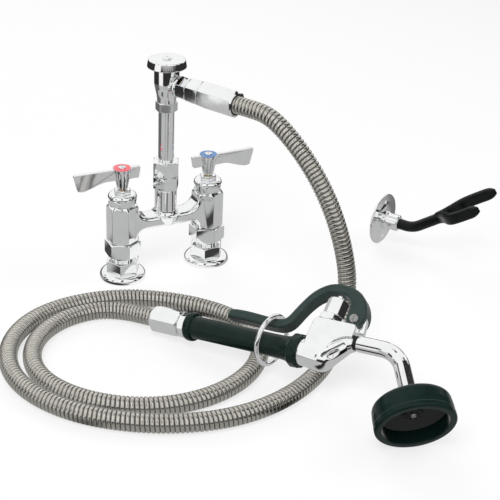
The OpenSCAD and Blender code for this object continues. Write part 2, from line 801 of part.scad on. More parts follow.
// Rests on the inlet and rises to close the vent
module breaker_poppet() {
    color(rubber) {
        translate([0, 0, poppet_seat + 0.02]) cylinder(d = bore_d + 5, h = 4);
        translate([0, 0, poppet_seat]) cylinder(d = 5, h = vent_base - poppet_lift - 0.3 - poppet_seat);
        translate([0, 0, vent_base - poppet_lift - 2.3]) cylinder(d = bore_d + 4, h = 2);
    }
}

module breaker_vent() {
    color(brass) difference() {
        union() {
            translate([0, 0, vent_base]) cylinder(d = bore_d + 12, h = vent_h);
            bore(8, breaker_top - over, cap_seat);
        }
        for (k = [0:5]) rotate([0, 0, 60 * k]) translate([7.4, 0, vent_base - over])
            cylinder(d = 3.4, h = vent_h + 2 * over);
        bore(screw_d, cap_seat - 8, cap_seat + over);
    }
}

module breaker_cap() {
    top_d = cap_d - 2.4;
    color(chrome) difference() {
        rotate_extrude() polygon(concat(
            [[0, breaker_top], [cap_d / 2 - 0.6, breaker_top], [cap_d / 2, breaker_top + 0.6]],
            [for (a = [0:18:90]) [top_d / 2 - 1.2 * (1 - cos(a)), breaker_top + cap_h - 1.2 * (1 - sin(a))]],
            [[0, breaker_top + cap_h]]
        ));
        bore(cap_d - 5, breaker_top - over, cap_seat);
        bore(screw_d + 0.2, breaker_top, breaker_top + cap_h + over);
        bore(12, breaker_top + cap_h - 0.6, breaker_top + cap_h + over);
    }
}

module cap_screw() {
    head = breaker_top + cap_h - 0.6;
    color(chrome) difference() {
        union() {
            bore(screw_d, cap_seat - 7, head + over);
            rotate_extrude() polygon(concat([[0, head], [5, head]],
                [for (a = [0:15:75]) [5 * cos(a), head + 1 + 2 * sin(a)]], [[0, head + 3]]));
        }
        translate([-0.6, -3, head + 1.8]) cube([1.2, 6, 3]);
    }
}

// ---- outlet and hose ----

module outlet_nipple() {
    color(chrome) on_outlet() difference() {
        union() {
            bore(nipple_thread_d - 3, boss_end - 6, boss_end + over);
            translate([0, 0, boss_end]) hex_bar(nipple_af, nipple_end - boss_end, foot = 1.2, top = 1.2);
            bore(nipple_thread_d, nipple_end - over, nipple_end + 10);
        }
        bore(bore_d, boss_end - 7, nipple_end + 10 + over);
    }
}

module outlet_washer() {
    color(rubber) on_outlet() translate([0, 0, nipple_end + 10])
        ring(nipple_thread_d - 0.4, bore_d, washer_h);
}

module swivel_nut() {
    color(chrome) on_outlet() difference() {
        translate([0, 0, nipple_end]) hex_bar(swivel_af, swivel_end - nipple_end, foot = 1.6, top = 1.2);
        bore(nipple_thread_d, nipple_end - over, nipple_end + 10 + washer_h);
        bore(nipple_thread_d - 3, nipple_end + 10, swivel_end + over);
    }
}

module upper_coupling() {
    color(chrome) on_outlet() difference() {
        union() {
            bore(nipple_thread_d - 3, swivel_end - coupling_tail, swivel_end + over);
            translate([0, 0, swivel_end])
                hex_bar(coupling_af, hose_reach - swivel_end, foot = 1.6, top = 2.4);
        }
        bore(bore_d, swivel_end - coupling_tail - over, hose_reach + over);
    }
}

hose_line = spline(hose_route, hose_samples);
hose_travel = travelled(hose_line);
hose_length = hose_travel[len(hose_travel) - 1];
hose_tables = tables(hose_line);
// A plain end, then two rings for every rib, and a plain end again
hose_stations = concat([0],
    [for (k = [0:2 * hose_ribs]) hose_d / 4 + (hose_length - hose_d / 2) * k / (2 * hose_ribs)],
    [hose_length]);
hose_centres = [for (s = hose_stations) along(hose_tables, s)];
hose_sideways = side_vectors(hose_centres);
hose_rings = len(hose_stations);
bore_marks = [for (i = [0:hose_rings - 1]) if (i % bore_every == 0 || i == hose_rings - 1) i];

// The least gap between two stretches of the hose that lie at least a few diameters apart
hose_gap = min([for (i = [0:4:hose_rings - 1]) for (j = [i + 12:4:hose_rings - 1])
    norm(hose_centres[i] - hose_centres[j])]) - hose_d;
echo(hose_length = hose_length, hose_gap = hose_gap, spray_leg = spray_leg);

module hose() {
    outer = [for (i = [0:hose_rings - 1])
        let(crest = i == 0 || i == hose_rings - 1 || i % 2 == 1)
        each ring_points(hose_centres[i], tangent(hose_centres, i), hose_sideways[i],
                         hose_d / 2 - (crest ? 0 : rib_depth), hose_sides)];
    inner = [for (i = bore_marks)
        each ring_points(hose_centres[i], tangent(hose_centres, i), hose_sideways[i],
                         hose_bore_d / 2, hose_sides)];
    marks = len(bore_marks);
    inner_start = len(outer);
    color(steel) polyhedron(
        points = concat(outer, inner),
        faces = concat(
            skin(0, hose_rings, hose_sides),
            skin(inner_start, marks, hose_sides, inward = true),
            annulus(0, inner_start, hose_sides, back = true),
            annulus((hose_rings - 1) * hose_sides, inner_start + (marks - 1) * hose_sides, hose_sides)
        ),
        convexity = 10
    );
}

// ---- spray valve ----

module lower_coupling() {
    color(chrome) on_valve() along_x() difference() {
        union() {
            hex_bar(coupling_af - 0.6, lower_coupling_l, foot = 5, top = 1.2);
            bore(handle_pipe_d - 2, lower_coupling_l - over, grip_s + 6);
        }
        bore(bore_d, -over, grip_s + 6 + over);
    }
}

module grip_collar() {
    color(chrome) on_valve() along_x() difference() {
        translate([0, 0, collar_s]) rotate([0, 0, 15]) hex_bar(grip_d, collar_l, foot = 1.4, top = 1);
        bore(handle_pipe_d - 2, collar_s - over, grip_s + over);
    }
}

module handle_pipe() {
    color(steel) on_valve() along_x() difference() {
        bore(handle_pipe_d, grip_s, guard_s + 5);
        bore(handle_pipe_d - 2, grip_s - over, grip_s + 6);
        bore(handle_pipe_d - 4, grip_s, guard_s + 5 + over);
    }
}

// A slim sleeve with a flange at the hose end and a flared, notched guard at the other
module grip() {
    r = grip_d / 2;
    flange_r = r + 3.3;
    guard_from = guard_s - guard_l;
    color(green) on_valve() along_x() difference() {
        rotate_extrude() polygon(concat(
            [[0, grip_s], [flange_r - 1.5, grip_s]],
            [for (a = [-60:30:60]) [flange_r - 1.5 + 1.5 * cos(a), grip_s + 4 + 4 * sin(a)]],
            [[r, grip_s + 8.5]],
            [for (k = [0:6]) [r - 0.3 * sin(180 * k / 6), grip_s + 9 + (guard_from - grip_s - 12) * k / 6]],
            [for (a = [0:15:90]) [r + (guard_d / 2 - r) * (1 - cos(a)), guard_from + 18 * sin(a) * 0.8]],
            [[guard_d / 2, guard_s - 1], [guard_d / 2 - 1, guard_s], [0, guard_s]]
        ));
        bore(handle_pipe_d, grip_s - over, guard_s + over);
        bore(body_barrel_d - 6, guard_s - 3, guard_s + over);
        for (k = [0:5]) rotate([0, 0, 60 * k + 30]) translate([guard_d / 2, 0, guard_s])
            cube([3, 6, 6], center = true);
        for (k = [0:5]) rotate([0, 0, 60 * k]) translate([guard_d / 2 - 0.7, -4, guard_s - 12])
            cube([4, 8, 8.5]);
    }
}

// Side of the flat upper part: level on top and cut back in an arc over the belly
module slab_side() {
    end = body_l;
    low = -1;
    cut_r = outlet_rise - low;
    corner = 4.5;
    polygon(concat(
        [[1.4, low], [0, 14]],
        [for (a = [0:15:90]) [0.4 + corner * (1 - cos(a)), slab_top - corner * (1 - sin(a))]],
        [for (a = [90:-18:0]) [end - 3.4 - 3.5 * (1 - cos(a)), slab_top - 3.5 * (1 - sin(a))]],
        [for (a = [0:9:90]) [end - 3.4 - cut_r * sin(a), low + cut_r * cos(a)]]
    ));
}

// The casting: a round barrel, a swelling belly, a flat upper part and a lug for the lever
module valve_body() {
    r = body_barrel_d / 2;
    belly_at = [guard_s + 21, 0, -1];
    shoulder_r = 9.6;
    shoulder_at = [gland_s - shoulder_r, 0, outlet_rise - 3.4];
    color(chrome) on_valve() difference() {
        union() {
            translate([guard_s - 3, 0, 0]) along_x() cylinder(d = body_barrel_d - 6.4, h = 10);
            hull() {
                translate([guard_s, 0, 0]) along_x() cylinder(r = r, h = 14, $fn = 40);
                translate(belly_at) sphere(r = r + 1, $fn = 32);
            }
            hull() {
                translate(belly_at) sphere(r = r + 1, $fn = 32);
                translate(shoulder_at) sphere(r = shoulder_r, $fn = 32);
            }
            hull() {
                translate(shoulder_at) sphere(r = shoulder_r, $fn = 32);
                translate([gland_s - 1, 0, outlet_rise]) along_x()
                    cylinder(d = tube_d + 1.4, h = 1, $fn = 32);
            }
            translate([slab_s, 0, 0]) rotate([90, 0, 0]) linear_extrude(slab_w, center = true) slab_side();
            translate([valve_s, 0, 0]) cylinder(d = valve_base_af - 1, h = bonnet_seat);
            hull() {
                translate([pivot.x, 0, pivot.y]) rotate([90, 0, 0])
                    cylinder(r = lug_r, h = lug_w, center = true, $fn = 48);
                translate([pivot.x - lug_r, -lug_w / 2, slab_top - 4]) cube([lug_r + 11.5, lug_w, 2]);
            }
            translate([gland_s - over, 0, outlet_rise]) along_x() cylinder(d = tube_d - 3, h = gland_l + 4);
        }
        translate([guard_s - 4, 0, 0]) along_x() cylinder(d = handle_pipe_d, h = 9);
        translate([guard_s + 4, 0, 0]) along_x() cylinder(d = bore_d, h = valve_axis_s - 4);
        translate([valve_s, 0, 0]) bore(valve_bore_d, valve_floor, bonnet_seat + over);
        translate([valve_s, 0, outlet_rise]) along_x()
            cylinder(d = water_d, h = gland_s + gland_l + 5 - valve_s);
        translate([pivot.x, 0, pivot.y]) rotate([90, 0, 0])
            cylinder(d = pivot_d, h = 3 * lug_w, center = true);
        for (side = [-1, 1]) translate([guard_s + 36.5, side * 10.5, 1]) rotate([0, -55, 0])
            scale([8, 5, 3.4]) sphere(r = 1, $fn = 24);
    }
}

module valve_seat() {
    color(brass) on_valve() translate([valve_s, 0, seat_t]) ring(valve_bore_d, water_d, seat_h);
}

spring_base = seat_t + seat_h;
spring_h = 14;
module valve_spring() {
    coil_r = valve_stem_d / 2 + 1.7;
    steps = spring_turns * 12;
    line = [for (k = [0:steps])
        [coil_r * cos(30 * k), coil_r * sin(30 * k),
         spring_base + spring_wire / 2 + (spring_h - spring_wire) * k / steps]];
    color(steel) on_valve() translate([valve_s, 0, 0]) bar(line, spring_wire, 6);
}

// Pushed down by the lever; its disc closes the seat from below
module valve_stem() {
    stem_top = min([for (k = [-1:1]) lookup(valve_s + k * valve_stem_d / 2, lever_under)]) - free_gap;
    color(brass) on_valve() translate([valve_s, 0, 0]) {
        bore(valve_stem_d, seat_t - 4, stem_top);
        bore(water_d + 4, seat_t - 3.6, seat_t - 0.1);
        bore(skirt_bore_d - 0.8, spring_base + spring_h + 1.4, spring_base + spring_h + 3);
    }
}

module valve_bonnet() {
    color(chrome) on_valve() translate([valve_s, 0, 0]) difference() {
        union() {
            bore(valve_bore_d, spring_base, bonnet_seat + over);
            translate([0, 0, bonnet_seat]) hex_bar(valve_base_af, valve_base_h, foot = 0.8, top = 1.4);
            translate([0, 0, bonnet_seat + valve_base_h]) rotate([0, 0, 15])
                hex_bar(valve_top_af, valve_top_h, foot = 0.8, top = 1.6);
        }
        bore(skirt_bore_d, spring_base - over, bonnet_seat + 2);
        bore(valve_stem_d + 2 * running_fit, bonnet_seat, valve_top + over);
        translate([0, 0, outlet_rise + 2]) along_x()
            cylinder(d = water_d, h = 2 * valve_bore_d, center = true);
    }
}

// The lever's cross sections: its middle line with the height, the directions across it and the
// height of its underside
lever_middle = [for (p = spline(lever_line, lever_steps)) p + [guard_s, 0, 0]];
lever_flat = [for (p = lever_middle) [p.x, p.y]];
lever_across = [for (i = [0:lever_steps]) let(t = tangent(lever_flat, i)) [-t.y, t.x]];
lever_under = [for (i = [0:lever_steps]) lever_flat[i] - lever_across[i] * lever_middle[i].z / 2];

// Corner points of a rectangle with rounded corners, from its half sizes
function rounded(half_a, half_b, r) = [
    for (corner = [[1, 1, 0], [-1, 1, 90], [-1, -1, 180], [1, -1, 270]]) for (a = [0, 30, 60, 90])
        [corner.x * (half_a - r) + r * cos(corner.z + a), corner.y * (half_b - r) + r * sin(corner.z + a)]
];

// A bar with rounded edges, swept along the lever's middle line, and forked round the lug
module lever() {
    room = lug_r + 2 * free_gap;
    slot_w = lug_w + 2 * free_gap;
    color(green) on_valve() difference() {
        rotate([90, 0, 0]) loft([for (i = [0:lever_steps])
            let(n = lever_across[i],
                wide = lookup(lever_flat[i].x - guard_s,
                              [[lever_widens[0], lever_w], [lever_widens[1], lever_front_w]]),
                end = i == 0 ? 0.6 : i == 1 ? 0.9 : 1)
            [for (c = rounded(lever_middle[i].z / 2, wide / 2 * end, lever_round))
                [lever_flat[i].x + n.x * c.x, lever_flat[i].y + n.y * c.x, c.y]]
        ]);
        translate([pivot.x, 0, pivot.y]) rotate([90, 0, 0]) cylinder(r = room, h = slot_w, center = true);
        translate([pivot.x - room, -slot_w / 2, slab_top - 4])
            cube([2 * room + 10, slot_w, pivot.y - slab_top + 4]);
        translate([pivot.x, 0, pivot.y]) rotate([90, 0, 0])
            cylinder(d = pivot_d + 2 * running_fit, h = 3 * lever_w, center = true);
    }
}

module pivot_screw() {
    head_w = 2.4;
    reach = lever_front_w / 2 + 0.5;
    color(chrome) on_valve() translate([pivot.x, -reach, pivot.y]) rotate([90, 0, 0]) difference() {
        union() {
            translate([0, 0, -2 * reach - 3]) cylinder(d = pivot_d, h = 2 * reach + 3);
            cylinder(d = 8, h = head_w);
        }
        translate([-0.5, -3, head_w - 0.8]) cube([1, 6, 2]);
    }
}

module pivot_nut() {
    reach = lever_front_w / 2 + 0.5;
    color(chrome) on_valve() translate([pivot.x, reach + 3, pivot.y]) rotate([90, 0, 0]) difference() {
        hex_bar(8, 3, foot = 0.8);
        bore(pivot_d, -over, 3 + over);
    }
}

module hold_ring() {
    color(chrome) on_valve() translate([ring_s, ring_side, ring_t]) rotate([0, 90 + ring_tilt, 0])
        rotate_extrude() translate([(ring_inner_d + ring_wire_d) / 2, 0]) circle(d = ring_wire_d, $fn = 32);
}

module outlet_gland() {
    color(rubber) on_valve() translate([gland_s, 0, outlet_rise]) along_x()
        ring(tube_d - 1.6, tube_d - 3, gland_l - 2);
}

module spray_tube() {
    start = gland_s + gland_l - 2;
    lead = bend_s - bend_cut - start;
    leg = bumper_back - 5 - bend_cut;
    color(chrome) on_valve() translate([start, 0, outlet_rise]) difference() {
        bar(bent_line(lead, tube_bend_r, tube_bend, leg, -1), tube_d, tube_sides);
        translate([-over, 0, 0])
            bar(bent_line(lead + over, tube_bend_r, tube_bend, leg + over, -1), tube_d - 5, tube_sides);
        translate([-over, 0, 0]) along_x() cylinder(d = tube_d - 3, h = 6 + over);
    }
}

module spray_head() {
    color(chrome) on_spray(bumper_back - head_collar) difference() {
        rotate_extrude() polygon([
            [0, 0], [tube_d / 2 + 1.5, 0], [tube_d / 2 + 1.5, head_collar], [head_d / 2, head_collar + 3],
            [face_d / 2, head_collar + face_s - 3.5], [face_d / 2, head_collar + face_s],
            [0, head_collar + face_s]
        ]);
        bore(tube_d - 5, -over, head_collar + face_s);
        bore(face_d - 8, head_collar + face_s - 2, head_collar + face_s + over);
    }
}

module bumper() {
    outer = bumper_d / 2;
    back = bumper_back_d / 2;
    lip = bumper_lip_d / 2;
    color(green) on_spray(bumper_back) difference() {
        rotate_extrude() polygon(concat(
            [[0, 0], [back, 0]],
            [for (a = [15:15:90]) [back + (outer - 1 - back) * sin(a), 6 * (1 - cos(a))]],
            [[outer - 0.4, bumper_l / 2], [outer - 0.4, bumper_l - lip - 3.6], [outer, bumper_l - lip - 3]],
            [for (a = [0:15:90]) [outer - lip + lip * cos(a), bumper_l - lip + lip * sin(a)]],
            [[0, bumper_l]]
        ));
        rotate_extrude() polygon([
            [0, -over], [tube_d / 2 + 1.5, -over], [tube_d / 2 + 1.5, 0], [head_d / 2, 3],
            [face_d / 2, face_s - 3.5], [face_d / 2, bumper_l - 1], [face_d / 2 + 1, bumper_l + over],
            [0, bumper_l + over]
        ]);
    }
}

// A disc with a low boss in the middle and narrow slots round the centre
module spray_face() {
    color(rubber) on_spray(bumper_back + face_s) difference() {
        rotate_extrude() polygon([
            [0, 0], [face_d / 2, 0], [face_d / 2, face_t], [10.5, face_t], [9, face_t + 2], [0, face_t + 2]
        ]);
        for (k = [0:7]) rotate([0, 0, 45 * k]) translate([3.4, -0.5, -over])
            cube([5, 1, face_t + 2 + 2 * over]);
        bore(screw_d, -over, face_t + 2 + over);
    }
}

module face_screw() {
    color(steel) on_spray(bumper_back + face_s) {
        bore(screw_d, 0, face_t + 2 + over);
        translate([0, 0, face_t + 2]) cylinder(d1 = 6, d2 = 4.4, h = 1.4);
    }
}

// ---- wall hook ----

module hook_plate() {
    r = plate_d / 2;
    color(chrome) on_hook() along_x() difference() {
        rotate_extrude() polygon(concat(
            [[0, 0], [r - 0.5, 0], [r, 0.5], [r, plate_t - 0.5], [r - 0.5, plate_t]],
            [for (k = [1:8]) [r - 6 - (r - 6 - hook_boss_d / 2) * k / 8,
                              plate_t + plate_dome * sin(90 * k / 8)]],
            [[0, plate_t + plate_dome]]
        ));
        for (k = [0:plate_holes - 1]) rotate([0, 0, 360 * k / plate_holes])
            translate([plate_pcd / 2, 0, -over]) cylinder(d = plate_hole_d, h = 10);
        bore(8, -over, 10);
    }
}

module hook_boss() {
    base = plate_t + plate_dome;
    r = hook_boss_d / 2;
    color(chrome) on_hook() difference() {
        union() {
            translate([base, 0, 0]) along_x() rotate_extrude() polygon([
                [0, 0], [r, 0], [r, 3], [r - 1.5, 4.5], [r - 1.5, hook_boss_l - 1.5],
                [r - 3, hook_boss_l], [0, hook_boss_l]
            ]);
            along_x() cylinder(d = 8, h = base + over);
        }
        translate([base + hook_boss_l - 14, 0, 0]) along_x() cylinder(d = rod_d, h = 14 + over);
        translate([base + hook_boss_l - 8, 0, 0]) rotate([90, 0, 0]) cylinder(d = screw_d, h = hook_boss_d);
    }
}

module hook_set_screw() {
    color(steel) on_hook() translate([plate_t + plate_dome + hook_boss_l - 8, 0, 0]) rotate([90, 0, 0])
        bore(screw_d, rod_d / 2, hook_boss_d / 2 - 0.6);
}

// The coated rod rises from the boss and splits into two flat prongs
module hook_fork() {
    start = plate_t + plate_dome + hook_boss_l - 14;
    bend_r = 30;
    cut = bend_r * tan(rod_rise / 2);
    slope = norm([fork_s - rod_bend_s, fork_z]);
    color(green) on_hook() {
        translate([start, 0, 0])
            bar(bent_line(rod_bend_s - cut - start, bend_r, rod_rise, slope - cut - 4, 1), rod_d, 16);
        translate([fork_s, 0, fork_z]) rotate([fork_turn, 0, 0]) translate([-fork_s, 0, -fork_z])
            for (side = [-1, 1]) scale([1, side, 1]) prong();
    }
}

module prong() {
    line = spline(prong_line, prong_steps);
    up = [-sin(rod_rise), 0, cos(rod_rise)];
    tip = [1, 0.94, 0.78, 0.5];
    loft([for (i = [0:prong_steps])
        let(t = tangent(line, i), n = unit(up - (up * t) * t), b = cross(t, n),
            shrink = tip[max(0, i - prong_steps + len(tip) - 1)])
        [for (c = rounded(prong_h / 2, prong_w / 2, prong_round)) line[i] + shrink * (c.x * n + c.y * b)]]);
}

faucet_body();
hot_foot();
cold_foot();
hot_union_nut();
cold_union_nut();
hot_washer();
cold_washer();
hot_seat_disc();
cold_seat_disc();
hot_bonnet();
cold_bonnet();
hot_packing_nut();
cold_packing_nut();
hot_stem();
cold_stem();
hot_handle();
cold_handle();
hot_index();
cold_index();
hot_handle_screw();
cold_handle_screw();
riser_adapter();
riser_washer();
riser_nut();
riser_pipe();
breaker_body();
breaker_poppet();
breaker_vent();
breaker_cap();
cap_screw();
outlet_nipple();
outlet_washer();
swivel_nut();
upper_coupling();
hose();
lower_coupling();
grip_collar();
handle_pipe();
grip();
valve_body();
valve_seat();
valve_spring();
valve_stem();
valve_bonnet();
lever();
pivot_screw();
pivot_nut();
hold_ring();
outlet_gland();
spray_tube();
spray_head();
bumper();
spray_face();
face_screw();
hook_plate();
hook_boss();
hook_set_screw();
hook_fork();
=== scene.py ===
"""Looks for the pre rinse faucet: camera, steel hose, chrome, moulded rubber and a white studio.
Lengths are in metres unless a name says mm."""
import json
import math

import bmesh
import bpy
import numpy as np
from mathutils import Matrix, Vector


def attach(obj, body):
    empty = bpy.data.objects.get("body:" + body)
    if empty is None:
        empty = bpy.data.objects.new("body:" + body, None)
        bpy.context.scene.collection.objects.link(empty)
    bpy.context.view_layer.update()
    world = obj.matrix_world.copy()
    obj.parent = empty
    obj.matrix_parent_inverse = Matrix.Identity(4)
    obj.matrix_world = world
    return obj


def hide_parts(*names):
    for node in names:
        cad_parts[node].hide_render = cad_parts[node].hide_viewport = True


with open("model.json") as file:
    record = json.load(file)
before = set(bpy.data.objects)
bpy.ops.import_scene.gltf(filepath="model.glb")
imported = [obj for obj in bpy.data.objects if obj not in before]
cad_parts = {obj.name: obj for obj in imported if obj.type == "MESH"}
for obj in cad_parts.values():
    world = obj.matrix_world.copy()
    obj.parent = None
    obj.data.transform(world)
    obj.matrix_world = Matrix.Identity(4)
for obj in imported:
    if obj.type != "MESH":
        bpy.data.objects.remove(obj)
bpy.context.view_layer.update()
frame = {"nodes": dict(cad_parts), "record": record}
nodes = frame["nodes"]
ROOT = "faucet"
MM = 0.001


# ---- camera ----

CAMERA_ANGLES = (-28.083, 27.595, 2.627)    # azimuth, elevation and roll, in degrees
CAMERA_PLACE = (-0.49193, -1.12427, 0.66548)
LENS_MM = 88.64
SENSOR_MM = 36


def make_camera():
    azimuth, elevation, roll = (math.radians(angle) for angle in CAMERA_ANGLES)
    back = Vector((math.sin(azimuth) * math.cos(elevation),
                   -math.cos(azimuth) * math.cos(elevation), math.sin(elevation)))
    right = Vector((math.cos(azimuth), math.sin(azimuth), 0))
    up = back.cross(right)
    rolled_right = right * math.cos(roll) + up * math.sin(roll)
    rolled_up = up * math.cos(roll) - right * math.sin(roll)
    data = bpy.data.cameras.new("camera")
    data.sensor_width = SENSOR_MM
    data.lens = LENS_MM
    data.clip_start, data.clip_end = 0.05, 50
    camera = bpy.data.objects.new("camera", data)
    bpy.context.scene.collection.objects.link(camera)
    turn = Matrix((rolled_right, rolled_up, back)).transposed()
    camera.matrix_world = Matrix.Translation(CAMERA_PLACE) @ turn.to_4x4()
    bpy.context.scene.camera = camera


# ---- mesh helpers ----

def new_object(name, verts, faces, smooth=True):
    mesh = bpy.data.meshes.new(name)
    mesh.from_pydata([tuple(v) for v in verts], [], [tuple(f) for f in faces])
    mesh.update()
    if smooth:
        mesh.shade_smooth()
    piece = bpy.data.objects.new(name, mesh)
    bpy.context.scene.collection.objects.link(piece)
    return piece


def spline(points, steps):
    """Points of the uniform cubic spline that the CAD source uses, ends included."""
    p = np.array(points, float)
    q = np.vstack([2 * p[0] - p[1], p, 2 * p[-1] - p[-2]])
    out = []
    for k in range(steps + 1):
        u = k * (len(p) - 1) / steps
        i = min(int(u), len(q) - 4)
        t = u - i
        weights = np.array([(1 - t) ** 3, 3 * t ** 3 - 6 * t * t + 4,
                            -3 * t ** 3 + 3 * t * t + 3 * t + 1, t ** 3]) / 6
        out.append(weights @ q[i:i + 4])
    return np.array(out)


def evenly(points, count):
    """The same line with evenly spaced points, and its length."""
    steps = np.linalg.norm(np.diff(points, axis=0), axis=1)
    travelled = np.concatenate([[0], np.cumsum(steps)])
    marks = np.linspace(0, travelled[-1], count)
    return np.stack([np.interp(marks, travelled, points[:, k]) for k in range(3)], 1), travelled[-1]


def frames_along(points):
    """Two unit directions square to the line at each point, which don't twist round it."""
    tangents = np.gradient(points, axis=0)
    tangents /= np.linalg.norm(tangents, axis=1)[:, None]
    side = np.cross(tangents[0], (0.3, 0.2, 1))
    sides = []
    for t in tangents:
        side = side - (side @ t) * t
        side /= np.linalg.norm(side)
        sides.append(side)
    sides = np.array(sides)
    return sides, np.cross(tangents, sides)


def quads(rings, around, closed_ends=True):
    """The faces of a tube whose points lie ring by ring."""
    faces = []
    for i in range(rings - 1):
        for k in range(around):
            j = (k + 1) % around
            faces.append((i * around + k, i * around + j, (i + 1) * around + j, (i + 1) * around + k))
    if closed_ends:
        faces.append(tuple(range(around))[::-1])
        faces.append(tuple((rings - 1) * around + k for k in range(around)))
    return faces


# ---- materials ----

def material(name, base, metallic=0.0):
    made = bpy.data.materials.new(name)
    made.use_nodes = True
    shader = made.node_tree.nodes["Principled BSDF"]
    shader.inputs["Base Color"].default_value = (*base, 1)
    shader.inputs["Metallic"].default_value = metallic
    return made, made.node_tree, shader


def object_noise(tree, scale, detail=4.0):
    coords = tree.nodes.new("ShaderNodeTexCoord")
    noise = tree.nodes.new("ShaderNodeTexNoise")
    noise.inputs["Scale"].default_value = scale
    noise.inputs["Detail"].default_value = detail
    tree.links.new(coords.outputs["Object"], noise.inputs["Vector"])
    return noise


def vary(tree, source, socket, low, high):
    """Drives a socket from a node's factor, between two values."""
    ramp = tree.nodes.new("ShaderNodeMapRange")
    ramp.inputs["To Min"].default_value = low
    ramp.inputs["To Max"].default_value = high
    tree.links.new(source.outputs["Fac"], ramp.inputs["Value"])
    tree.links.new(ramp.outputs["Result"], socket)


def vary_colour(tree, source, socket, low, high, start=0.3, end=0.7):
    """Drives a socket from a node's factor, between two colours."""
    ramp = tree.nodes.new("ShaderNodeValToRGB")
    ramp.color_ramp.elements[0].position = start
    ramp.color_ramp.elements[1].position = end
    ramp.color_ramp.elements[0].color = (*low, 1)
    ramp.color_ramp.elements[1].color = (*high, 1)
    tree.links.new(source.outputs["Fac"], ramp.inputs["Fac"])
    tree.links.new(ramp.outputs["Color"], socket)


def bump(tree, shader, source, strength, distance, edge=None):
    """Raises the surface by a noise; edge rounds sharp edges over that radius."""
    node = tree.nodes.new("ShaderNodeBump")
    node.inputs["Strength"].default_value = strength
    node.inputs["Distance"].default_value = distance
    tree.links.new(source.outputs["Fac"], node.inputs["Height"])
    if edge:
        bevel = tree.nodes.new("ShaderNodeBevel")
        bevel.samples = 4
        bevel.inputs["Radius"].default_value = edge
        tree.links.new(bevel.outputs["Normal"], node.inputs["Normal"])
    tree.links.new(node.outputs["Normal"], shader.inputs["Normal"])


def darker(colour, share):
    return tuple(share * c for c in colour)


CHROME = (0.91, 0.915, 0.92)
SOFT_EDGE = 0.5 * MM        # radius over which the shading rounds an edge
COUPLING_EDGE = 1.1 * MM
SCREW_EDGE = 0.3 * MM


def make_chrome(name, edge):
    """Plated metal: faint clouds and smudges, and a slight wave in what it mirrors."""
    made, tree, shader = material(name, CHROME, metallic=1.0)
    cloud = object_noise(tree, 38)
    vary(tree, cloud, shader.inputs["Roughness"], 0.03, 0.07)
    smudge = object_noise(tree, 90, 6)
    vary_colour(tree, smudge, shader.inputs["Base Color"], darker(CHROME, 0.94), CHROME)
    ripple = object_noise(tree, 55, 2)
    bump(tree, shader, ripple, 0.03, 0.002, edge=edge)
    return made


def make_rubber(name, low, high, roughness, gloss):
    """Moulded rubber or dipped coating, with a fine grain; gloss is its specular level."""
    made, tree, shader = material(name, high)
    shader.inputs["Specular IOR Level"].default_value = gloss
    cloud = object_noise(tree, 60, 5)
    vary_colour(tree, cloud, shader.inputs["Base Color"], low, high)
    vary(tree, cloud, shader.inputs["Roughness"], *roughness)
    fine = object_noise(tree, 1500, 3)
    bump(tree, shader, fine, 0.12, 0.0003, edge=SOFT_EDGE)
    return made


def make_metal(name, base, roughness):
    """Bare metal with a fine machined grain."""
    made, tree, shader = material(name, base, metallic=1.0)
    fine = object_noise(tree, 900, 3)
    vary(tree, fine, shader.inputs["Roughness"], *roughness)
    vary_colour(tree, fine, shader.inputs["Base Color"], darker(base, 0.85), base)
    bump(tree, shader, fine, 0.1, 0.0002, edge=SCREW_EDGE)
    return made


def make_strip_steel(name, ridge, groove):
    """Wound strip: bright ridges, and dull grooves darkened with painted shade where the mesh says so."""
    made, tree, shader = material(name, ridge, metallic=1.0)
    fine = object_noise(tree, 260, 4)
    groove_shade_mask = tree.nodes.new("ShaderNodeAttribute")
    groove_shade_mask.attribute_name = "groove"
    blend = tree.nodes.new("ShaderNodeMix")
    blend.data_type = "RGBA"
    # The groove colour is painted shade: the dark of the grooves where the wound strip shades itself.
    blend.inputs[7].default_value = (*groove, 1)
    tree.links.new(groove_shade_mask.outputs["Fac"], blend.inputs[0])
    vary_colour(tree, fine, blend.inputs[6], darker(ridge, 0.82), ridge, 0.35, 0.65)
    tree.links.new(blend.outputs[2], shader.inputs["Base Color"])
    vary(tree, groove_shade_mask, shader.inputs["Roughness"], 0.17, 0.6)
    bump(tree, shader, fine, 0.1, 0.0002)
    return made


def make_plastic(name, low, high, roughness):
    """Hard plastic or ceramic with a thin clear coat."""
    made, tree, shader = material(name, high)
    cloud = object_noise(tree, 120, 3)
    vary_colour(tree, cloud, shader.inputs["Base Color"], low, high)
    vary(tree, cloud, shader.inputs["Roughness"], *roughness)
    shader.inputs["Coat Weight"].default_value = 0.4
    return made


make_camera()

SLOTS = {
    "chrome": make_chrome("chrome", SOFT_EDGE),
    "green_grip": make_rubber("green_grip", (0.007, 0.022, 0.018), (0.012, 0.034, 0.028),
        (0.2, 0.32), 0.32),
    "green_coating": make_rubber("green_coating", (0.003, 0.004, 0.004), (0.006, 0.008, 0.007),
        (0.14, 0.24), 0.16),
    "rubber": make_rubber("rubber", (0.004, 0.005, 0.005), (0.009, 0.010, 0.010),
        (0.35, 0.5), 0.25),
    "brass": make_metal("brass", (0.72, 0.52, 0.25), (0.25, 0.4)),
    "steel": make_metal("steel", (0.58, 0.57, 0.55), (0.2, 0.35)),
    # The hose's groove colour is painted shade for its grooves.
    "hose_steel": make_strip_steel("hose_steel", (0.56, 0.54, 0.49), (0.05, 0.045, 0.04)),
    "ceramic": make_plastic("ceramic", (0.75, 0.75, 0.72), (0.85, 0.85, 0.82), (0.3, 0.5)),
    "hot_red": make_plastic("hot_red", (0.72, 0.03, 0.06), (0.80, 0.05, 0.09), (0.2, 0.35)),
    "cold_blue": make_plastic("cold_blue", (0.015, 0.15, 0.42), (0.03, 0.20, 0.50), (0.2, 0.35)),
}
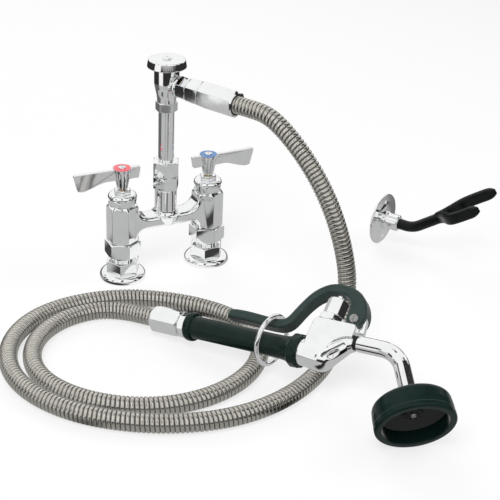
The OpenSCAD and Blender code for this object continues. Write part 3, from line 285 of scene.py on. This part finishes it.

# Finishes of single pieces that differ from their slot's usual one; some are lighter or darker copies of a
# slot's colour that paint light and shade, as noted at each
SPECIAL = {
    # The lever's green is a lighter copy of the grip green: painted light for its lit near side and top.
    "lever": make_rubber("lever_coating_painted_light", (0.022, 0.038, 0.034), (0.030, 0.050, 0.045),
        (0.22, 0.34), 0.18),
    # The bumper's green is darker than its slot's: its own dark rubber, and partly painted shade for the
    # dark inside of its cup.
    "bumper": make_rubber("bumper_rubber_painted_shade", (0.004, 0.013, 0.011), (0.006, 0.018, 0.015),
        (0.16, 0.28), 0.13),
    "grip": make_rubber("grip_rubber", (0.003, 0.012, 0.009), (0.006, 0.018, 0.014),
        (0.1, 0.2), 0.16),
    # The spray face's near black is painted shade, for the shade deep inside the bumper's cup.
    "spray_face": make_rubber("face_rubber_painted_shade", (0.002, 0.003, 0.003), (0.004, 0.005, 0.005),
        (0.4, 0.55), 0.12),
    "spray_head": make_rubber("head_rubber", (0.002, 0.003, 0.003), (0.004, 0.005, 0.005),
        (0.4, 0.55), 0.12),
    # The face screw's dark steel is painted shade inside the bumper's cup.
    "face_screw": make_metal("screw_steel_painted_shade", (0.22, 0.22, 0.21), (0.25, 0.4)),
    "pivot_screw": make_metal("pivot_steel", (0.34, 0.34, 0.33), (0.14, 0.28)),
    "upper_coupling": make_chrome("coupling_chrome", COUPLING_EDGE),
    "valve_stem": SLOTS["chrome"],
}
SPECIAL["lower_coupling"] = SPECIAL["upper_coupling"]

# ---- hose ----

# The hose's axis, the same points as in the CAD source
HOSE_ROUTE_MM = [
    (41, -84, 219), (49.2, -100.8, 219), (57.4, -117.6, 219), (66, -135.2, 209.5),
    (75, -154, 194), (84, -172.5, 174), (92, -189, 150), (98.5, -202, 123),
    (103, -211.5, 95), (105, -218, 67), (98, -225, 41), (82, -240, 20),
    (60, -260, 10.5), (33, -280, 9.4), (-8, -299, 9.4), (-58, -307, 9.4),
    (-110, -297, 9.4), (-161, -271, 9.4), (-203, -231, 9.4), (-226, -181, 9.4),
    (-226, -132, 9.4), (-204, -88, 9.4), (-166, -60, 9.4), (-120, -53, 9.4),
    (-75, -61, 9.4), (-34, -84, 9.4), (2, -120, 9.4), (22, -162, 9.4),
    (18, -207, 9.4), (-10, -243, 9.4), (-50, -264, 9.4), (-96, -269, 9.4),
    (-140, -256, 9.4), (-178, -227, 9.4), (-202, -187, 9.4), (-205, -144, 9.4),
    (-187, -106, 9.4), (-160, -85, 9.4), (-136, -77, 9.4), (-112, -76, 9.4),
    (-93, -83, 9.2), (-79.5, -95.55, 10.05), (-74.5, -104.2, 11.5), (-64.5, -121.5, 14.4),
]
HOSE_D = 18.5 * MM
RIB_PITCH = 4.3 * MM
RIB_DEPTH = 1.15 * MM
RIDGE_CROWN = 0.22 * MM
GROOVE_SHARE = 0.30
FLANK_REACH = 1.25          # where a groove's flank ends, in half grooves from its middle
RINGS_PER_RIB = 10
HOSE_SIDES = 28
MEASURING_STEPS = 1200
DRAWING_STEPS = 2400


def groove_depth(phase):
    """0 on a ridge and 1 in the groove, over one turn of the wound strip."""
    away = np.abs(phase - 0.5) / (GROOVE_SHARE / 2)
    flank = np.clip(FLANK_REACH - away, 0, 1)
    return flank * flank * (3 - 2 * flank)


def make_hose():
    """A wound steel strip: one crowned ridge that runs round the hose in a helix."""
    route = np.array(HOSE_ROUTE_MM) * MM
    _, length = evenly(spline(route, MEASURING_STEPS), 2)
    ribs = round(length / RIB_PITCH)
    line, _ = evenly(spline(route, DRAWING_STEPS), ribs * RINGS_PER_RIB + 1)
    side, other = frames_along(line)
    angles = 2 * math.pi * np.arange(HOSE_SIDES) / HOSE_SIDES
    turns = np.arange(len(line)) / RINGS_PER_RIB
    phase = (turns[:, None] - angles[None] / (2 * math.pi)) % 1.0
    groove = groove_depth(phase)
    crown = RIDGE_CROWN * np.clip(2 * np.abs((phase + 0.5) % 1.0 - 0.5), 0, 1) ** 2
    radius = HOSE_D / 2 - RIB_DEPTH * groove - crown
    verts = (line[:, None] + radius[..., None] * (np.cos(angles)[None, :, None] * side[:, None]
                                                  + np.sin(angles)[None, :, None] * other[:, None]))
    hose = new_object("ribbed_hose", verts.reshape(-1, 3), quads(len(line), HOSE_SIDES))
    # How deep each point lies in a groove is kept on the mesh, where it places the painted shade in the
    # grooves.
    shade = hose.data.color_attributes.new("groove", "FLOAT_COLOR", "POINT")
    shade.data.foreach_set("color", np.repeat(groove.reshape(-1, 1), 4, axis=1).astype(np.float32).ravel())
    hose.data.materials.append(SLOTS["hose_steel"])
    hose.visible_glossy = False
    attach(hose, ROOT)
    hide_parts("hose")


make_hose()


# ---- chromed pieces with their edges broken ----

SLOT_OF = {part["node"]: part["material_slot"] for part in frame["record"]["subparts"]}
SAME_POINT = 0.01 * MM
FLAT_ANGLE = 1.0            # degrees under which two facets are one face
SHARP_ANGLE = 30            # degrees over which an edge is rounded
SHADE_ANGLE = 34            # degrees over which shading stays sharp
SHORTEST_EDGE = 2.2         # shortest edge that is rounded, in roundings
NUT_ROUNDING = 0.45 * MM
BODY_ROUNDING = 0.4 * MM
CASTING_CELL = 0.55 * MM
CASTING_ROUNDS = 12


# A node's finish; for the lever, bumper, spray face and face screw it is a lighter or darker copy that
# paints light and shade.
def finish_and_painted_light_of(name):
    return SPECIAL.get(name, SLOTS[SLOT_OF[name]])


def node_copy(name):
    """A new object with a node's mesh, its doubled points merged and its flat faces whole."""
    mesh = nodes[name].data.copy()
    work = bmesh.new()
    work.from_mesh(mesh)
    bmesh.ops.remove_doubles(work, verts=work.verts, dist=SAME_POINT)
    bmesh.ops.dissolve_limit(work, angle_limit=math.radians(FLAT_ANGLE), verts=work.verts,
                             edges=work.edges)
    work.to_mesh(mesh)
    work.free()
    piece = bpy.data.objects.new(name + "_finished", mesh)
    bpy.context.scene.collection.objects.link(piece)
    return piece


def stands_for(piece, name):
    """Rides, replaces and takes its finish as the node does, with the painted light and shade that some
    finishes carry.
    """
    piece.data.materials.clear()
    piece.data.materials.append(finish_and_painted_light_of(name))
    for polygon in piece.data.polygons:
        polygon.material_index = 0
    body = next(body for body, held in frame["record"]["behaviour"]["bodies"].items() if name in held)
    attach(piece, body)
    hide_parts(name)


def broken_edges(name, width):
    """The node with its sharp edges rounded over a width, as plated metal has them."""
    piece = node_copy(name)
    work = bmesh.new()
    work.from_mesh(piece.data)
    edges = [edge for edge in work.edges if len(edge.link_faces) == 2
             and edge.calc_face_angle(0) > math.radians(SHARP_ANGLE)
             and edge.calc_length() > SHORTEST_EDGE * width]
    bmesh.ops.bevel(work, geom=edges, offset=width, offset_type="OFFSET", segments=2, profile=0.5,
                    affect="EDGES", clamp_overlap=False)
    work.to_mesh(piece.data)
    work.free()
    piece.data.shade_smooth()
    piece.data.set_sharp_from_angle(angle=math.radians(SHADE_ANGLE))
    weighted = piece.modifiers.new("weighted", "WEIGHTED_NORMAL")
    weighted.keep_sharp = True
    stands_for(piece, name)


def smoothed_casting(name, cell, rounds):
    """The node as a casting: remeshed in even cells and relaxed, so that all its edges are soft."""
    piece = node_copy(name)
    remesh = piece.modifiers.new("cells", "REMESH")
    remesh.mode = "VOXEL"
    remesh.voxel_size = cell
    relax = piece.modifiers.new("relax", "LAPLACIANSMOOTH")
    relax.iterations = rounds
    relax.lambda_factor = 0.6
    relax.use_volume_preserve = True
    depsgraph = bpy.context.evaluated_depsgraph_get()
    mesh = bpy.data.meshes.new_from_object(piece.evaluated_get(depsgraph))
    piece.modifiers.clear()
    piece.data = mesh
    piece.data.shade_smooth()
    stands_for(piece, name)


smoothed_casting("valve_body", CASTING_CELL, CASTING_ROUNDS)
for side in ("hot", "cold"):
    for part in ("foot", "union_nut", "bonnet", "packing_nut", "handle"):
        broken_edges(side + "_" + part, NUT_ROUNDING)
for part in ("riser_adapter", "riser_nut", "outlet_nipple", "swivel_nut", "grip_collar",
             "valve_bonnet", "breaker_cap", "hook_plate", "hook_boss", "breaker_body", "pivot_screw",
             "faucet_body"):
    broken_edges(part, BODY_ROUNDING)


# ---- CAD nodes keep their shape and get better materials, some with painted light and shade ----

# Pieces that the chrome doesn't mirror; the hose is one too
UNMIRRORED = ["grip", "lever", "bumper", "hook_fork", "hold_ring"]


def dress_nodes():
    for name, piece in nodes.items():
        look = finish_and_painted_light_of(name)
        if piece.data.materials:
            for k in range(len(piece.data.materials)):
                piece.data.materials[k] = look
        else:
            piece.data.materials.append(look)
        if name in UNMIRRORED:
            piece.visible_glossy = False


dress_nodes()


# ---- studio ----

ROOM_LEVEL = 0.38
FLOOR_HALF = 3.0
PAPER_GREY = 0.86
PAPER_GLOW = 0.72           # share of the floor's look that is plain white
SEEING_RAYS = ("Is Camera Ray", "Is Glossy Ray", "Is Transmission Ray")


def light_path_mix(tree, shown, lit, output):
    """shown where the camera, a mirror or glass looks, lit elsewhere."""
    path = tree.nodes.new("ShaderNodeLightPath")
    last = path.outputs[SEEING_RAYS[0]]
    for kind in SEEING_RAYS[1:]:
        join = tree.nodes.new("ShaderNodeMath")
        join.operation = "MAXIMUM"
        tree.links.new(last, join.inputs[0])
        tree.links.new(path.outputs[kind], join.inputs[1])
        last = join.outputs[0]
    mix = tree.nodes.new("ShaderNodeMixShader")
    tree.links.new(last, mix.inputs[0])
    tree.links.new(lit, mix.inputs[1])
    tree.links.new(shown, mix.inputs[2])
    tree.links.new(mix.outputs[0], output)


def make_world():
    """White for the camera and for mirrors; a plain soft grey room lights the matt surfaces."""
    world = bpy.data.worlds.new("studio")
    bpy.context.scene.world = world
    world.use_nodes = True
    tree = world.node_tree
    tree.nodes.clear()
    output = tree.nodes.new("ShaderNodeOutputWorld")
    seen = tree.nodes.new("ShaderNodeBackground")
    seen.inputs["Color"].default_value = (1, 1, 1, 1)
    seen.inputs["Strength"].default_value = 1.0
    room = tree.nodes.new("ShaderNodeBackground")
    room.inputs["Color"].default_value = (1, 1, 1, 1)
    room.inputs["Strength"].default_value = ROOM_LEVEL
    light_path_mix(tree, seen.outputs[0], room.outputs[0], output.inputs[0])


def make_floor():
    corners = [(x * FLOOR_HALF, y * FLOOR_HALF, 0) for x, y in ((-1, -1), (1, -1), (1, 1), (-1, 1))]
    floor = new_object("floor", corners, [(0, 1, 2, 3)], smooth=False)
    made = bpy.data.materials.new("white_paper")
    made.use_nodes = True
    tree = made.node_tree
    tree.nodes.clear()
    output = tree.nodes.new("ShaderNodeOutputMaterial")
    paper = tree.nodes.new("ShaderNodeBsdfDiffuse")
    paper.inputs["Color"].default_value = (PAPER_GREY, PAPER_GREY, PAPER_GREY, 1)
    glow = tree.nodes.new("ShaderNodeEmission")
    glow.inputs["Color"].default_value = (1, 1, 1, 1)
    part = tree.nodes.new("ShaderNodeMixShader")
    part.inputs[0].default_value = PAPER_GLOW
    tree.links.new(paper.outputs[0], part.inputs[1])
    tree.links.new(glow.outputs[0], part.inputs[2])
    light_path_mix(tree, part.outputs[0], paper.outputs[0], output.inputs[0])
    floor.data.materials.append(made)


def card_material(name):
    """Shows a mesh's own grey levels."""
    made = bpy.data.materials.new(name)
    made.use_nodes = True
    tree = made.node_tree
    tree.nodes.clear()
    output = tree.nodes.new("ShaderNodeOutputMaterial")
    glow = tree.nodes.new("ShaderNodeEmission")
    level = tree.nodes.new("ShaderNodeAttribute")
    level.attribute_name = "level"
    tree.links.new(level.outputs["Color"], glow.inputs["Color"])
    tree.links.new(glow.outputs[0], output.inputs[0])
    return made


def card(name, verts, faces, levels):
    """A studio card that only mirror reflections show, as the grey and black cards round a
    chrome product do."""
    made = new_object(name, verts, faces, smooth=False)
    grey = made.data.color_attributes.new("level", "FLOAT_COLOR", "POINT")
    for k, level in enumerate(levels):
        grey.data[k].color = (level, level, level, 1)
    made.data.materials.append(card_material(name))
    made.visible_camera = False
    made.visible_diffuse = False
    made.visible_transmission = False
    made.visible_shadow = False
    made.visible_volume_scatter = False


def step(value, low, high):
    """0 below low and 1 above high, with a smooth rise between them."""
    t = min(1.0, max(0.0, (value - low) / (high - low)))
    return t * t * (3 - 2 * t)


def between(turn, start, end, soft):
    """1 inside a sector of azimuths, fading to 0 over soft degrees at its sides."""
    middle, half = (start + end) / 2, (end - start) / 2
    away = abs((turn - middle + 180) % 360 - 180)
    return 1 - step(away, half - soft / 2, half + soft / 2)


# Floor card: light sectors near the faucet that its upright faces mirror, dark ones between them for
# their edges, others further out for the riser, and black past the table's edge. A dark sector is
# (start, end, level, softness), with its angles in degrees of azimuth
CARD_GREY, CARD_BLACK, CARD_WHITE = 0.52, 0.03, 1.0
NEAR_DARK = ((-103, -93, 0.05, 5), (-44, -28, 0.05, 6), (-178, -154, 0.06, 8), (42, 84, 0.05, 10),
             (140, 166, 0.06, 8))
FAR_DARK = ((98, 172, 0.14, 5), (-94, -86, 0.02, 4), (-6, 20, 0.18, 10), (-129, -124, 0.2, 4))
WHITE_SECTOR = (173, 212)
NEAR_END, FAR_START, TABLE_EDGE = (0.235, 0.25), (0.29, 0.31), (0.53, 0.57)


def floor_level(radius, turn):
    near = far = CARD_GREY
    for start, end, dark, soft in NEAR_DARK:
        near += (dark - near) * between(turn, start, end, soft)
    for start, end, dark, soft in FAR_DARK:
        far += (dark - far) * between(turn, start, end, soft)
    level = near + (CARD_GREY - near) * step(radius, *NEAR_END)
    level += (far - CARD_GREY) * step(radius, *FAR_START)
    edge = CARD_BLACK + (CARD_WHITE - CARD_BLACK) * between(turn, *WHITE_SECTOR, 3)
    return level + (edge - level) * step(radius, *TABLE_EDGE)


# Sky card: white, with black gaps between the softboxes, as (azimuth, width, lowest, highest) in
# degrees, and a dark ring high up
SKY_GAPS = ((-118, 14, 30, 68), (-50, 14, 10, 34), (-38, 40, 50, 81), (-17, 28, 0, 58), (125, 8, 28, 42),
            (-165, 8, 12, 40), (148, 9, 8, 34), (167, 14, 8, 25))
SKY_RING = (77, 81)
RING_LEVEL = 0.12
HORIZON_RISE = 10


def sky_level(turn, rise):
    level = CARD_WHITE
    for middle, width, lowest, highest in SKY_GAPS:
        inside = between(turn, middle - width / 2, middle + width / 2, 4)
        inside *= step(rise, lowest - 2, lowest + 2) * (1 - step(rise, highest - 3, highest + 3))
        level += (CARD_BLACK - level) * inside
    ring = step(rise, SKY_RING[0] - 1, SKY_RING[0] + 1) * (1 - step(rise, SKY_RING[1] - 1, SKY_RING[1] + 1))
    level += (RING_LEVEL - level) * ring
    low = CARD_BLACK + (CARD_WHITE - CARD_BLACK) * between(turn, *WHITE_SECTOR, 3)
    return level + (low - level) * (1 - step(rise, HORIZON_RISE - 1, HORIZON_RISE + 1))


CARD_SECTORS = 360
CARD_RADII = [0.06 + 0.01 * k for k in range(53)] + [0.7, 1.0, 1.5]
CARD_LIFT = 0.4 * MM
SKY_RISES = range(0, 90, 2)


def on_circle(radius, turn, height):
    return radius * math.cos(math.radians(turn)), radius * math.sin(math.radians(turn)), height


def make_cards():
    turns = [360 * k / CARD_SECTORS for k in range(CARD_SECTORS)]
    flat = [(radius, turn) for radius in CARD_RADII for turn in turns]
    card("floor_card", [on_circle(radius, turn, CARD_LIFT) for radius, turn in flat],
         quads(len(CARD_RADII), CARD_SECTORS, closed_ends=False),
         [floor_level(radius, turn) for radius, turn in flat])
    reach = CARD_RADII[-1]
    dome = [(rise, turn) for rise in SKY_RISES for turn in turns]
    card("sky_card",
         [on_circle(reach * math.cos(math.radians(rise)), turn, reach * math.sin(math.radians(rise)))
          for rise, turn in dome],
         quads(len(SKY_RISES), CARD_SECTORS, closed_ends=False),
         [sky_level(turn, rise) for rise, turn in dome])


def area_light(name, place, aim, size, power):
    data = bpy.data.lights.new(name, "AREA")
    data.shape = "RECTANGLE"
    data.size, data.size_y = size
    data.energy = power
    lamp = bpy.data.objects.new(name, data)
    bpy.context.scene.collection.objects.link(lamp)
    lamp.location = place
    lamp.rotation_mode = "QUATERNION"
    lamp.rotation_quaternion = (Vector(aim) - Vector(place)).to_track_quat("-Z", "Y")


make_world()
make_floor()
make_cards()
area_light("key", (-0.7, -0.9, 1.5), (0, -0.15, 0.05), (0.9, 0.9), 20)
area_light("fill", (1.3, -0.6, 1.0), (0, -0.15, 0.1), (0.8, 1.2), 8)
area_light("back", (0.1, 1.2, 1.2), (0, -0.1, 0.1), (1.4, 0.6), 11)

bpy.context.scene.view_settings.view_transform = "Standard"
